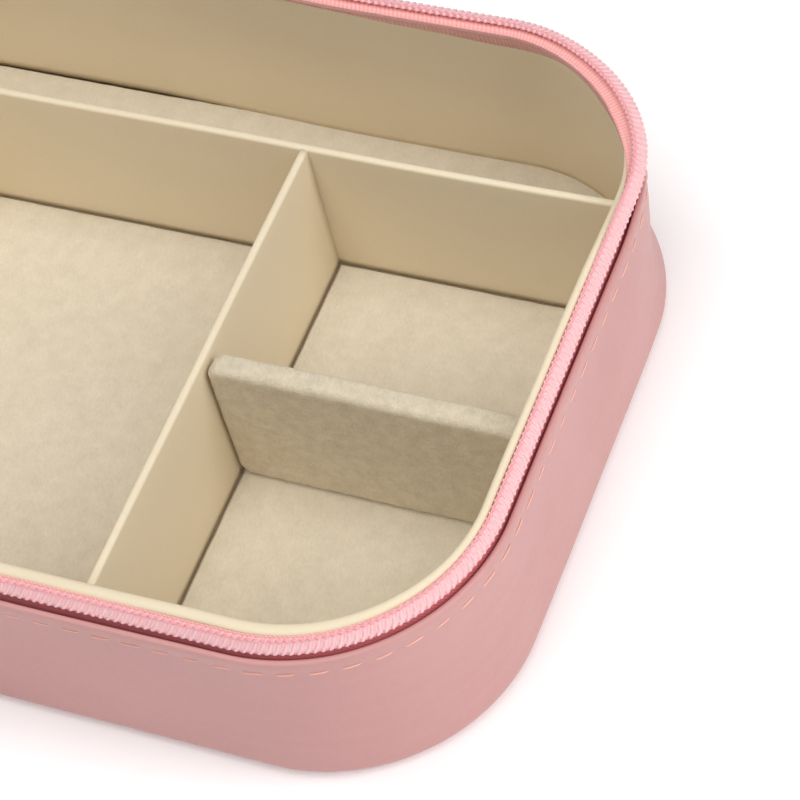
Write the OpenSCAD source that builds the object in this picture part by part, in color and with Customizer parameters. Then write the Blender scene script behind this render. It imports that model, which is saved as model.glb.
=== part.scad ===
// A zip-around jewelry box: a soft-skinned base with fixed and removable dividers, ring rolls,
// and a mirrored lid that hinges on the left end. All sizes are in millimetres.
// The origin is the centre of the base's underside. The lid is drawn standing open.
// "Inset" is a distance inward from the outer face of the walls at the zipped edge.

/* [Case] */
// Overall length of the case, left to right
case_length = 205; // [170:1:280]
// Overall depth of the case, front to back
case_depth = 155; // [130:1:220]
// Outer radius of the upright corners
corner_radius = 40; // [25:1:50]
// Height of the base's turned edge above the table
base_edge_height = 43.5; // [30:0.5:80]
// Height of the lid's wall, from its outer face to its turned edge
lid_edge_height = 18.7; // [16:0.1:40]
// Distance from a turned edge to the plane where the two halves meet
edge_to_meeting = 3.9; // [3.2:0.1:6]
// Angle that the lid stands open, from closed
lid_open_angle = 105; // [90:1:115]

/* [Walls] */
// Thickness of the outer leather skin
skin_thickness = 1.2; // [0.8:0.1:1.4]
// How far the base's walls draw in towards the underside
base_taper = 1.3; // [0:0.1:2]
// Radius of the rounded edge round the underside and round the lid's top
foot_radius = 4.5; // [3:0.5:7.5]
// How far the skin is turned under the base and over the lid
skin_turn = 11; // [9:0.5:16]
// Inset of the liner's outer face
liner_inset = 3.9; // [3.9:0.1:6]
// Thickness of the liner band that forms the lip
liner_thickness = 1.6; // [1.2:0.1:3]
// Gap left between a lip and the meeting plane
lip_gap = 0.2; // [0.15:0.05:0.6]
// Thickness of the stiff boards in the base and the lid
board_thickness = 1.7; // [1:0.1:3]
// Thickness of the velvet pads on the floor
pad_thickness = 0.8; // [0.5:0.1:2]

/* [Dividers] */
// Height of the fixed dividers above the floor pads
divider_height = 35.4; // [20:0.2:40]
// Thickness of the fixed dividers
divider_thickness = 1.7; // [1.2:0.1:3]
// Depth of the strip compartment along the back wall
back_strip_depth = 33; // [20:0.5:50]
// Width of the two small compartments at the right
right_bay_width = 65.5; // [40:0.5:80]
// Width of the ring bay at the left
ring_bay_width = 43; // [30:0.5:50]
// Clearance where a fixed divider meets a wall
divider_fit = 0.1; // [0.05:0.05:0.3]
// Height of the removable divider above the floor pads
removable_height = 35; // [20:0.5:38]
// Thickness of the removable divider with its velvet
removable_thickness = 5.2; // [3:0.1:6]
// Thickness of the board inside the removable divider
removable_core = 1.6; // [1:0.1:2]
// Distance from the strip divider to the removable divider
removable_from_strip = 49.6; // [20:0.1:80]
// Clearance round the removable divider
removable_fit = 0.3; // [0.2:0.05:0.6]

/* [Ring rolls] */
// Height of the ring rolls above the floor pad
ring_roll_height = 24; // [15:1:32]
// Clearance between neighbouring ring rolls
ring_roll_fit = 0.2; // [0.1:0.05:0.5]

/* [Zipper] */
// Inset of the coil's outer side
coil_inset = 1.5; // [1.5:0.1:2]
// Thickness of the coil, across the wall
coil_thickness = 1; // [0.8:0.1:1.4]
// Height of the coil, along the wall
coil_height = 2.3; // [1.8:0.1:2.8]
// Gap between the coil and the meeting plane
coil_gap = 0.4; // [0.4:0.05:0.8]
// Thickness of the woven tape
tape_thickness = 0.3; // [0.2:0.05:0.5]
// Depth of the tape inside the wall, below the turned edge
tape_depth = 9; // [6:0.5:12]
// Clearance between the tape and the skin's inner face
tape_fit = 0.15; // [0.1:0.05:0.2]
// Length of each end stop
stop_length = 2.4; // [1.5:0.1:4]

/* [Sliders] */
// Length of a slider along the zipper
slider_length = 9.5; // [7:0.5:14]
// Thickness of a slider's outer plate
slider_plate = 1; // [0.8:0.1:1]
// Thickness of a slider's inner plate
slider_inner_plate = 0.5; // [0.4:0.1:0.6]
// Clearance between a slider and what it runs past
slider_fit = 0.3; // [0.2:0.05:0.4]
// Distance between a slider at rest and the end of its straight run
slider_rest = 6.5; // [6:0.5:20]
// Radius of the bar that holds a pull
pull_bar_radius = 0.6; // [0.5:0.1:0.8]
// Radial clearance of a pull's eye on its bar
pull_bar_fit = 0.25; // [0.1:0.05:0.4]
// Wall round a pull's eye
pull_eye_wall = 0.8; // [0.6:0.1:1.2]
// Width of a pull's eye along its bar
pull_eye_width = 3.4; // [2.6:0.1:4]
// Length of a pull, from its bar to its tip
pull_length = 27; // [15:1:35]
// Greatest width of a pull
pull_width = 6.4; // [4:0.2:9]
// Thickness of a pull
pull_thickness = 1.2; // [0.8:0.1:1.4]

/* [Lid fittings] */
// Width of the mirror, left to right
mirror_width = 128; // [80:1:150]
// Depth of the mirror, front to back
mirror_depth = 84; // [50:1:110]
// Thickness of the mirror
mirror_thickness = 1.4; // [1:0.1:2]
// Width of the frame round the mirror
mirror_frame_width = 5; // [3:0.5:10]
// Corner radius of the mirror
mirror_radius = 10; // [4:1:20]
// Clearance between the mirror and its frame
mirror_fit = 0.1; // [0.05:0.05:0.3]
// How far the frame stands above the mirror
mirror_frame_proud = 0.4; // [0.2:0.1:1]
// How far the lid's padded top stands above its turned skin
lid_crown = 0.8; // [0.4:0.1:2]

/* [Hidden] */
$fn = 96;
// Overlap that keeps a cut from ending on a face
cut = 1;
half_length = case_length / 2;
half_depth = case_depth / 2;
corner_x = half_length - corner_radius;
corner_y = half_depth - corner_radius;
liner_face = liner_inset + liner_thickness;
inner_x = half_length - liner_face;
inner_y = half_depth - liner_face;
inner_radius = corner_radius - liner_face;
board_z = skin_thickness;
pad_z = board_z + board_thickness;
floor_z = pad_z + pad_thickness;
meeting_z = base_edge_height + edge_to_meeting;
lid_depth = lid_edge_height + edge_to_meeting;
divider_top = floor_z + divider_height;
strip_face = inner_y - back_strip_depth;
strip_front = strip_face - divider_thickness;
right_bay_x = inner_x - right_bay_width;
ring_bay_x = ring_bay_width - inner_x;
roll_count = 4;
shell_top_gap = 2.5;
tape_slot = tape_thickness + 2 * tape_fit;
tape_top_gap = 0.3;
tape_bend = 0.1;
tape_inset = coil_inset + coil_thickness;
coil_corner = 0.3;
removable_top_radius = 2.2;
slider_height = 2 * (edge_to_meeting - slider_fit);
slider_plate_face = coil_inset - slider_fit - slider_plate;
inner_plate_inset = tape_inset + tape_thickness + slider_fit;
slider_corner = 2;
slider_bridge = 0.5;
slider_bridge_length = 3;
slider_bridge_end = 0.5;
pull_eye_radius = pull_bar_radius + pull_bar_fit + pull_eye_wall;
pull_to_plate = 0.4;
pull_axis_inset = slider_plate_face - pull_to_plate - pull_eye_radius;
pull_post_gap = 0.3;
pull_post_width = 1.1;
pull_post_wall = 0.2;
pull_neck_length = 2.5;
pull_slot_drop = 6;
pull_slot_share = 2.6;
spine_end_gap = 6;
lining_thickness = 0.5;
lining_lap = 0.8;
lining_crest = [-1.2, 3.1];

// Colours
leather_pink = [0.86, 0.66, 0.65];
zipper_pink = [0.97, 0.73, 0.74];
liner_beige = [0.87, 0.81, 0.70];
velvet_beige = [0.80, 0.75, 0.65];
board_grey = [0.62, 0.58, 0.52];
metal_gold = [0.85, 0.68, 0.45];

// Points on an arc about a centre, in the drawing plane
function arc(centre, radius, from, to, steps = 12) =
    [for (i = [0 : steps]) let (a = from + (to - from) * i / steps)
        centre + radius * [cos(a), sin(a)]];

// Points on a smooth curve that leaves the first point towards the second and ends at the third
function bend(a, b, c, steps = 12) =
    [for (i = [0 : steps]) let (t = i / steps)
        (1 - t) * (1 - t) * a + 2 * t * (1 - t) * b + t * t * c];

// How far the liner's inner face is from the middle of the case at a given depth
function wall_x(y) = corner_x + sqrt(pow(inner_radius, 2) - pow(max(0, abs(y) - corner_y), 2));

// A point of the closed lid, seen along the hinge, once the lid stands open
function opened(p) = let (a = lid_open_angle, q = p - [-half_length, meeting_z])
    [-half_length, meeting_z] + [q.x * cos(a) - q.y * sin(a), q.x * sin(a) + q.y * cos(a)];

// One straight wall of a drawn section (inset, height). 0 is the front, then right, back and left.
module wall(side) {
    run = side % 2 == 0 ? 2 * corner_x : 2 * corner_y;
    across = side % 2 == 0 ? half_depth : half_length;
    rotate([0, 0, 90 * side])
        translate([-run / 2, -across, 0])
            rotate([90, 0, 90])
                linear_extrude(run)
                    children();
}

// One corner of a drawn section. 0 is between the front and the right, then on round the case.
module corner(side) {
    centre = [[corner_x, -corner_y], [corner_x, corner_y], [-corner_x, corner_y],
        [-corner_x, -corner_y]][side];
    translate([centre.x, centre.y, 0])
        rotate([0, 0, 90 * side - 90])
            rotate_extrude(angle = 90)
                translate([corner_radius, 0])
                    mirror([1, 0])
                        children();
}

// A drawn section carried all the way round the case
module all_round() {
    for (side = [0 : 3]) {
        wall(side) children();
        corner(side) children();
    }
}

// A drawn section carried round the zipped sides, which leave out the left wall
module zipped_round() {
    for (side = [0 : 2])
        wall(side) children();
    for (side = [0 : 3])
        corner(side) children();
}

// A flat plate with upright rounded corners, inset all round
module plate(inset, low, high) {
    radius = corner_radius - inset;
    translate([0, 0, low]) {
        translate([-corner_x, inset - half_depth, 0])
            cube([2 * corner_x, case_depth - 2 * inset, high - low]);
        translate([inset - half_length, -corner_y, 0])
            cube([case_length - 2 * inset, 2 * corner_y, high - low]);
        for (x = [-corner_x, corner_x], y = [-corner_y, corner_y])
            translate([x, y, 0])
                cylinder(r = radius, h = high - low);
    }
}

// A box given by its lowest and highest corners
module block(low, high) {
    translate(low)
        cube(high - low);
}

// A rounded rectangle about the origin, in the drawing plane
module rounded(size, radius) {
    half = size / 2 - [radius, radius];
    polygon(concat(arc([half.x, half.y], radius, 0, 90), arc([-half.x, half.y], radius, 90, 180),
        arc([-half.x, -half.y], radius, 180, 270), arc([half.x, -half.y], radius, 270, 360)));
}

// Turns a lid drawn with its outer face at height 0 into the open lid
module lid_place() {
    translate([-half_length, 0, meeting_z])
        rotate([0, -lid_open_angle, 0])
            translate([half_length, 0, lid_depth])
                mirror([0, 0, 1])
                    children();
}

// Section of the outer skin, from the turned-under edge to the turned top edge
module skin_section(edge, taper) {
    outer = foot_radius;
    inner = foot_radius - skin_thickness;
    centre = [taper + foot_radius, foot_radius];
    polygon(concat([[skin_turn, 0]], arc(centre, outer, 270, 180), [[0, edge]],
        [[skin_thickness, edge]], arc(centre, inner, 180, 270), [[skin_turn, skin_thickness]]));
}

// Section of the stiff wall board between the skin and the liner
module shell_section(edge, taper) {
    top = edge - shell_top_gap;
    slot_low = edge - tape_depth - tape_slot;
    slope = taper / (edge - foot_radius);
    low = foot_radius + skin_thickness;
    polygon([[skin_thickness + slope * (edge - low), low],
        [skin_thickness + slope * (edge - slot_low), slot_low],
        [skin_thickness + tape_slot + slope * (edge - slot_low), slot_low],
        [skin_thickness + tape_slot, top], [liner_inset, top], [liner_inset, low]]);
}

// Section of the liner band, with a rounded lip
module liner_section(lip) {
    round_top = liner_thickness / 2;
    polygon(concat([[liner_face, pad_z]],
        arc([liner_inset + round_top, lip - round_top], round_top, 0, 180),
        [[liner_inset, pad_z]]));
}

// Section of the zipper tape, from inside the wall to behind the coil
module tape_section(edge, taper) {
    low = edge - tape_depth;
    near = skin_thickness + tape_fit;
    far = near + tape_thickness;
    lean = taper * tape_depth / (edge - foot_radius);
    outside = tape_inset + tape_thickness;
    bend_low = edge + tape_bend;
    coil_top = edge + edge_to_meeting - coil_gap;
    bend_high = coil_top - coil_height;
    top = coil_top - tape_top_gap;
    polygon([[near + lean, low], [far + lean, low], [far, edge], [outside, bend_high - tape_bend],
        [outside, top], [tape_inset, top], [tape_inset, bend_high], [near, bend_low]]);
}

// Section of the coil's envelope
module coil_section(edge) {
    high = edge + edge_to_meeting - coil_gap;
    low = high - coil_height;
    near = coil_inset;
    far = coil_inset + coil_thickness;
    c = coil_corner;
    polygon([[near, low + c], [near + c, low], [far - c, low], [far, low + c],
        [far, high - c], [far - c, high], [near + c, high], [near, high - c]]);
}

// Two stops that close the coil's ends beside the hinge
module stops(edge) {
    high = edge + edge_to_meeting - coil_gap;
    for (y = [-1, 1])
        translate([0, y * (corner_y - slider_fit - stop_length / 2), 0])
            block([coil_inset - half_length, -stop_length / 2, high - coil_height],
                [coil_inset - half_length + coil_thickness, stop_length / 2, high]);
}

// Part of a floor pad between two corners, cut to the rounded inside of the liner
module floor_pad(low, high) {
    color(velvet_beige)
        intersection() {
            plate(liner_face, pad_z, floor_z);
            block([low.x, low.y, pad_z - cut], [high.x, high.y, floor_z + cut]);
        }
}

module base_bottom_panel() {
    color(leather_pink)
        plate(skin_turn + divider_fit, 0, skin_thickness);
}

module base_skin() {
    color(leather_pink)
        all_round() skin_section(base_edge_height, base_taper);
}

module base_floor_board() {
    color(board_grey)
        plate(base_taper + foot_radius, board_z, pad_z);
}

module base_shell() {
    color(board_grey)
        all_round() shell_section(base_edge_height, base_taper);
}

module base_liner() {
    color(liner_beige)
        all_round() liner_section(meeting_z - lip_gap);
}

module main_floor_pad() {
    floor_pad([ring_bay_x + divider_thickness + divider_fit, -half_depth],
        [right_bay_x - divider_thickness - divider_fit, strip_front - divider_fit]);
}

module right_floor_pad() {
    floor_pad([right_bay_x + divider_fit, -half_depth], [half_length, strip_front - divider_fit]);
}

module ring_bay_floor_pad() {
    floor_pad([-half_length, -half_depth], [ring_bay_x - divider_fit, strip_front - divider_fit]);
}

module back_strip_floor_pad() {
    floor_pad([-half_length, strip_face + divider_fit], [half_length, half_depth]);
}

module back_divider() {
    color(liner_beige)
        intersection() {
            plate(liner_face + divider_fit, pad_z, divider_top);
            block([-half_length, strip_front, pad_z - cut], [half_length, strip_face, divider_top + cut]);
        }
}

// A fixed divider that runs from the front wall to the strip divider
module front_to_back_divider(left) {
    color(liner_beige)
        intersection() {
            plate(liner_face + divider_fit, pad_z, divider_top);
            block([left, -half_depth, pad_z - cut],
                [left + divider_thickness, strip_front - divider_fit, divider_top + cut]);
        }
}

module cross_divider() {
    front_to_back_divider(right_bay_x - divider_thickness);
}

module ring_divider() {
    front_to_back_divider(ring_bay_x);
}

// One upright foam roll with a round top, cut back where the case's corner is in its way
module ring_roll(index) {
    pitch = (ring_bay_width - 2 * ring_roll_fit) / roll_count;
    width = pitch - ring_roll_fit;
    left = ring_roll_fit - inner_x + pitch * (index - 1) + ring_roll_fit / 2;
    from_corner = max(0, -corner_x - left);
    round_reach = corner_y + sqrt(pow(inner_radius - ring_roll_fit, 2) - pow(from_corner, 2));
    front = -round_reach;
    back = min(strip_front - ring_roll_fit, round_reach);
    length = back - front;
    round_z = ring_roll_height - width / 2;
    color(velvet_beige)
        translate([left + width / 2, back, floor_z])
            rotate([90, 0, 0])
                linear_extrude(length)
                    polygon(concat([[width / 2, 0]], arc([0, round_z], width / 2, 0, 180, 16),
                        [[-width / 2, 0]]));
}

module base_zipper_tape() {
    color(zipper_pink)
        zipped_round() tape_section(base_edge_height, base_taper);
}

module base_zipper_coil() {
    color(zipper_pink)
        zipped_round() coil_section(base_edge_height);
}

module base_zipper_stops() {
    color(zipper_pink)
        stops(base_edge_height);
}

// The leather that joins the two skins along the left wall, and folds as the lid opens
module hinge_spine() {
    base_end = [-half_length, base_edge_height];
    lid_end = opened([-half_length, meeting_z + edge_to_meeting]);
    chord = norm(lid_end - base_end);
    radius = chord / 2 / sin(lid_open_angle / 2);
    centre = base_end - [radius, 0];
    last = lid_open_angle - spine_end_gap;
    color(leather_pink)
        translate([0, corner_y, 0])
            rotate([90, 0, 0])
                linear_extrude(2 * corner_y)
                    polygon(concat(arc(centre, radius, 0, last),
                        arc(centre, radius + skin_thickness, last, 0)));
}

// The beige lining that covers the hinge from inside
module hinge_lining() {
    start = [liner_inset - lining_lap - half_length, base_edge_height - shell_top_gap];
    finish = opened([start.x, meeting_z + edge_to_meeting - lining_lap]);
    crest = [start.x, meeting_z] + lining_crest;
    step = [lining_thickness, 0];
    half_width = corner_y - stop_length - 3 * slider_fit;
    color(liner_beige)
        translate([0, half_width, 0])
            rotate([90, 0, 0])
                linear_extrude(2 * half_width)
                    polygon(concat(bend(start, crest, finish),
                        bend(finish + [0, lining_thickness], crest + step, start + step)));
}

// The space that the removable divider fills, less an inset all round but below
module removable_blank(inset) {
    low_x = right_bay_x + removable_fit + inset;
    back = strip_front - removable_from_strip - inset;
    front = back - removable_thickness + 2 * inset;
    high_x = wall_x(front - inset) - removable_fit - inset;
    top = floor_z + removable_height - inset;
    bottom = floor_z + removable_fit + inset;
    radius = min((back - front) / 2.02, removable_top_radius);
    translate([low_x, 0, 0])
        rotate([90, 0, 90])
            linear_extrude(high_x - low_x)
                polygon(concat([[front, bottom], [back, bottom]],
                    arc([back - radius, top - radius], radius, 0, 90, 8),
                    arc([front + radius, top - radius], radius, 90, 180, 8)));
}

module removable_divider_board() {
    color(board_grey)
        removable_blank((removable_thickness - removable_core) / 2);
}

module removable_divider_cover() {
    color(velvet_beige)
        difference() {
            removable_blank(0);
            removable_blank((removable_thickness - removable_core) / 2);
        }
}

module lid_top_panel() {
    color(leather_pink)
        lid_place()
            plate(skin_turn + divider_fit, -lid_crown, skin_thickness);
}

module lid_skin() {
    color(leather_pink)
        lid_place()
            all_round() skin_section(lid_edge_height, 0);
}

module lid_board() {
    color(board_grey)
        lid_place()
            plate(foot_radius, board_z, pad_z);
}

module lid_shell() {
    color(board_grey)
        lid_place()
            all_round() shell_section(lid_edge_height, 0);
}

module lid_liner() {
    color(liner_beige)
        lid_place()
            all_round() liner_section(lid_depth - lip_gap);
}

module lid_lining_panel() {
    color(velvet_beige)
        lid_place()
            plate(liner_face, pad_z, floor_z);
}

module lid_mirror_frame() {
    outer = [mirror_width, mirror_depth] + 2 * [mirror_frame_width, mirror_frame_width];
    hole = [mirror_width, mirror_depth] + 2 * [mirror_fit, mirror_fit];
    color(liner_beige)
        lid_place()
            translate([0, 0, floor_z])
                linear_extrude(mirror_thickness + mirror_frame_proud)
                    difference() {
                        rounded(outer, mirror_radius + mirror_frame_width);
                        rounded(hole, mirror_radius);
                    }
}

module lid_mirror() {
    color("lightsteelblue")
        lid_place()
            translate([0, 0, floor_z])
                linear_extrude(mirror_thickness)
                    rounded([mirror_width, mirror_depth], mirror_radius);
}

module lid_zipper_tape() {
    color(zipper_pink)
        lid_place()
            zipped_round() tape_section(lid_edge_height, 0);
}

module lid_zipper_coil() {
    color(zipper_pink)
        lid_place()
            zipped_round() coil_section(lid_edge_height);
}

module lid_zipper_stops() {
    color(zipper_pink)
        lid_place()
            stops(lid_edge_height);
}

// Puts what is drawn at the meeting plane of the front wall on the front or the back wall
module slider_place(front) {
    translate([slider_rest - corner_x, front ? -half_depth : half_depth, meeting_z])
        mirror([0, front ? 0 : 1, 0])
            children();
}

// A slider: two plates joined between the two coils, and a bar for the pull
module slider() {
    half_height = slider_height / 2;
    half_slider = slider_length / 2;
    post_low = pull_eye_width / 2 + pull_post_gap;
    post_high = post_low + pull_post_width;
    translate([0, slider_plate_face + slider_plate, 0])
        rotate([90, 0, 0])
            linear_extrude(slider_plate)
                rounded([slider_length, slider_height], slider_corner);
    translate([0, inner_plate_inset + slider_inner_plate, 0])
        rotate([90, 0, 0])
            linear_extrude(slider_inner_plate)
                rounded([slider_length, slider_height], slider_corner);
    block([half_slider - slider_bridge_length, slider_plate_face + slider_plate / 2, -slider_bridge / 2],
        [half_slider - slider_bridge_end, inner_plate_inset + slider_inner_plate / 2, slider_bridge / 2]);
    for (side = [-1, 1])
        translate([side * (post_low + post_high) / 2, 0, 0])
            block([-pull_post_width / 2, pull_axis_inset - pull_bar_radius - pull_post_wall, -half_height / 3],
                [pull_post_width / 2, slider_plate_face + slider_plate / 2, half_height / 3]);
    translate([-post_low - pull_post_width / 2, pull_axis_inset, 0])
        rotate([0, 90, 0])
            cylinder(r = pull_bar_radius, h = 2 * post_low + pull_post_width);
}

// A pull that hangs from its bar: an eye, a neck and a rounded tab with a slot in it
module pull() {
    tab_top = -pull_eye_radius - pull_neck_length;
    slot_width = pull_width / pull_slot_share;
    translate([0, pull_axis_inset, 0])
        difference() {
            union() {
                translate([-pull_eye_width / 2, 0, 0])
                    rotate([0, 90, 0])
                        cylinder(r = pull_eye_radius, h = pull_eye_width);
                translate([0, pull_thickness / 2, 0])
                    rotate([90, 0, 0])
                        linear_extrude(pull_thickness)
                            polygon(concat([[-pull_eye_width / 2, 0], [-pull_eye_width / 2, tab_top]],
                                arc([0, pull_width / 2 - pull_length], pull_width / 2, 180, 360, 24),
                                [[pull_eye_width / 2, tab_top], [pull_eye_width / 2, 0]]));
            }
            translate([-pull_eye_width / 2 - cut, 0, 0])
                rotate([0, 90, 0])
                    cylinder(r = pull_bar_radius + pull_bar_fit, h = pull_eye_width + 2 * cut);
            translate([0, pull_thickness, 0])
                rotate([90, 0, 0])
                    linear_extrude(2 * pull_thickness)
                        polygon(concat(arc([0, tab_top - pull_slot_drop], slot_width / 2, 0, 180, 16),
                            arc([0, pull_width / 2 - pull_length], slot_width / 2, 180, 360, 16)));
        }
}

module front_slider() {
    color(metal_gold)
        slider_place(true) slider();
}

module front_pull() {
    color(metal_gold)
        slider_place(true) pull();
}

module back_slider() {
    color(metal_gold)
        slider_place(false) slider();
}

module back_pull() {
    color(metal_gold)
        slider_place(false) pull();
}

base_bottom_panel();
base_skin();
base_floor_board();
base_shell();
base_liner();
main_floor_pad();
right_floor_pad();
ring_bay_floor_pad();
back_strip_floor_pad();
back_divider();
cross_divider();
ring_divider();
ring_roll(1);  // ring_roll_1
ring_roll(2);  // ring_roll_2
ring_roll(3);  // ring_roll_3
ring_roll(4);  // ring_roll_4
base_zipper_tape();
base_zipper_coil();
base_zipper_stops();
hinge_spine();
hinge_lining();
removable_divider_board();
removable_divider_cover();
lid_top_panel();
lid_skin();
lid_board();
lid_shell();
lid_liner();
lid_lining_panel();
lid_mirror_frame();
lid_mirror();
lid_zipper_tape();
lid_zipper_coil();
lid_zipper_stops();
front_slider();
front_pull();
back_slider();
back_pull();
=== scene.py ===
import math
import bmesh
import bpy
import numpy as np
from mathutils import Matrix, Vector, noise


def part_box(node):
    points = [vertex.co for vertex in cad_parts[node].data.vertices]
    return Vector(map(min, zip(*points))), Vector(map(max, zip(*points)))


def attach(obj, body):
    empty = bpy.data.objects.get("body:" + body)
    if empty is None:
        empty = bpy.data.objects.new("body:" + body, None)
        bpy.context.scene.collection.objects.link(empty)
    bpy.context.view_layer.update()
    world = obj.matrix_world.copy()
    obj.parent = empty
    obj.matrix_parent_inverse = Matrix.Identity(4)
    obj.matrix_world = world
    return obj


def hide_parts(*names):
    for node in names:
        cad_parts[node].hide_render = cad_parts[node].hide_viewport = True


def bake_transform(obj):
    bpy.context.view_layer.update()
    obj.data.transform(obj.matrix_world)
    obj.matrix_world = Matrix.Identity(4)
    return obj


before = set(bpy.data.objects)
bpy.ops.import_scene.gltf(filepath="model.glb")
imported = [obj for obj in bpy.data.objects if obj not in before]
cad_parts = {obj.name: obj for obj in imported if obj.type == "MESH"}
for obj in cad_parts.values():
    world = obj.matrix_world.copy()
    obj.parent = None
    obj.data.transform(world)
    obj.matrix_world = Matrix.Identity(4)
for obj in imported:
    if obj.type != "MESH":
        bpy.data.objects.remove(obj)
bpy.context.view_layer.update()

MM = 0.001

# ---------------------------------------------------------------- sizes taken from the frame
skin_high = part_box("base_skin")[1]
liner_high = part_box("base_liner")[1]
HALF_X = skin_high.x
HALF_Y = skin_high.y
CORNER = 40 * MM
EDGE_Z = skin_high.z
LIP_Z = liner_high.z
MEET_Z = LIP_Z + 0.2 * MM
PAD_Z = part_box("main_floor_pad")[0].z
LINER_OUT = HALF_X - liner_high.x
LINER_THICK = 1.6 * MM
LINER_IN = LINER_OUT + LINER_THICK
SKIN = 1.2 * MM
TAPER = 1.3 * MM
FOOT = 4.5 * MM
TURN = 11 * MM
HINGE = Vector((-HALF_X, 0, MEET_Z))
LID_OPEN = math.radians(105)
LID_DEPTH = 22.6 * MM
LID_EDGE = LID_DEPTH - (MEET_Z - EDGE_Z)


# ---------------------------------------------------------------- camera
AZIMUTH = math.radians(33.54)
ELEVATION = math.radians(52.75)
ROLL = math.radians(-15.8)
LENS = 139.2
CAMERA_PLACE = Vector((261.54, -302.22, 491.87)) * MM


def make_camera():
    """A long lens, above the front right corner, rolled a little."""
    data = bpy.data.cameras.new("camera")
    data.lens = LENS
    data.sensor_width = 36
    data.clip_start = 0.01
    data.clip_end = 20
    camera = bpy.data.objects.new("camera", data)
    bpy.context.scene.collection.objects.link(camera)
    camera.location = CAMERA_PLACE
    back = Vector((math.sin(AZIMUTH) * math.cos(ELEVATION),
                   -math.cos(AZIMUTH) * math.cos(ELEVATION), math.sin(ELEVATION)))
    look = (-back).to_track_quat("-Z", "Y").to_matrix()
    camera.rotation_mode = "QUATERNION"
    camera.rotation_quaternion = (look @ Matrix.Rotation(ROLL, 3, "Z")).to_quaternion()
    bpy.context.scene.camera = camera


make_camera()


# ---------------------------------------------------------------- the case's outline
class Outline:
    """The rounded outline of the case, followed anticlockwise from the hinge end of its front left."""

    def __init__(self):
        straight_x = 2 * (HALF_X - CORNER)
        straight_y = 2 * (HALF_Y - CORNER)
        quarter = math.pi / 2 * CORNER
        self.spans = [quarter, straight_x, quarter, straight_y, quarter, straight_x, quarter, straight_y]
        self.starts = np.concatenate([[0], np.cumsum(self.spans)])
        self.zipped = float(self.starts[7])
        self.whole = float(self.starts[8])

    def place(self, along):
        """Points on the outer face and inward normals, for an array of distances along."""
        along = np.asarray(along, float) % self.whole
        cx, cy = HALF_X - CORNER, HALF_Y - CORNER
        x, y = np.zeros_like(along), np.zeros_like(along)
        nx, ny = np.zeros_like(along), np.zeros_like(along)
        centres = [(-cx, -cy), (cx, -cy), (cx, cy), (-cx, cy)]
        for i in range(8):
            here = (along >= self.starts[i]) & (along < self.starts[i + 1] + 1e-12)
            d = along[here] - self.starts[i]
            turn = math.pi + (i // 2) * math.pi / 2
            if i % 2 == 0:
                a = turn + d / CORNER
                x[here] = centres[i // 2][0] + CORNER * np.cos(a)
                y[here] = centres[i // 2][1] + CORNER * np.sin(a)
                nx[here], ny[here] = -np.cos(a), -np.sin(a)
            else:
                a = turn + math.pi / 2
                dx, dy = -math.sin(a), math.cos(a)
                x[here] = centres[i // 2][0] + CORNER * math.cos(a) + dx * d
                y[here] = centres[i // 2][1] + CORNER * math.sin(a) + dy * d
                nx[here], ny[here] = -math.cos(a), -math.sin(a)
        return x, y, nx, ny

    def points(self, along, inset, z):
        """Space points for arrays of distance along, inset and height."""
        x, y, nx, ny = self.place(along)
        return np.stack([x + nx * inset, y + ny * inset, np.broadcast_to(z, np.shape(x))], -1)


OUTLINE = Outline()


# ---------------------------------------------------------------- mesh helpers
def lid_matrix():
    """From a half drawn like the base, outer face at height 0, to the open lid."""
    flip = Matrix.Translation((0, 0, MEET_Z + LID_DEPTH)) @ Matrix.Diagonal((1, 1, -1, 1))
    swing = Matrix.Rotation(-LID_OPEN, 4, "Y")
    return Matrix.Translation(HINGE) @ swing @ Matrix.Translation(-HINGE) @ flip


LID = lid_matrix()


def moved(points, matrix):
    m = np.array(matrix)
    return points @ m[:3, :3].T + m[:3, 3]


def make_object(name, points, faces, uv=None, matrix=None):
    """A smooth mesh object from points and faces. A mirrored matrix turns the faces round."""
    points = np.asarray(points, float).reshape(-1, 3)
    if matrix is not None:
        points = moved(points, matrix)
        if np.linalg.det(np.array(matrix)[:3, :3]) < 0:
            faces = [tuple(reversed(f)) for f in faces]
    mesh = bpy.data.meshes.new(name)
    mesh.from_pydata(points.tolist(), [], [tuple(int(i) for i in f) for f in faces])
    if uv is not None:
        layer = mesh.uv_layers.new(name="map")
        index = np.zeros(len(mesh.loops), int)
        mesh.loops.foreach_get("vertex_index", index)
        layer.data.foreach_set("uv", np.asarray(uv, float)[index].ravel())
    mesh.validate()
    mesh.shade_smooth()
    piece = bpy.data.objects.new(name, mesh)
    bpy.context.scene.collection.objects.link(piece)
    return piece


def grid_faces(rows, columns, close_rows=False, close_columns=False, first=0):
    """Quads of a grid of points stored row by row."""
    faces = []
    for i in range(rows if close_rows else rows - 1):
        for j in range(columns if close_columns else columns - 1):
            a = first + i * columns + j
            b = first + i * columns + (j + 1) % columns
            c = first + ((i + 1) % rows) * columns + (j + 1) % columns
            d = first + ((i + 1) % rows) * columns + j
            faces.append((a, d, c, b))
    return faces


def tube_faces(rings, columns, first=0, turned_round=False):
    """Faces of a tube of rings of points, with a flat face at each end."""
    faces = grid_faces(rings, columns, close_columns=True, first=first)
    last = first + (rings - 1) * columns
    faces.append(tuple(range(first, first + columns)))
    faces.append(tuple(reversed(range(last, last + columns))))
    return [tuple(reversed(f)) for f in faces] if turned_round else faces


def grid_rim(rows, columns):
    """The indices of a grid's outermost points, in order round it."""
    rim = list(range(columns)) + [r * columns + columns - 1 for r in range(1, rows)]
    rim += [(rows - 1) * columns + c for c in range(columns - 2, -1, -1)]
    return rim + [r * columns for r in range(rows - 2, 0, -1)]


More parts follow.
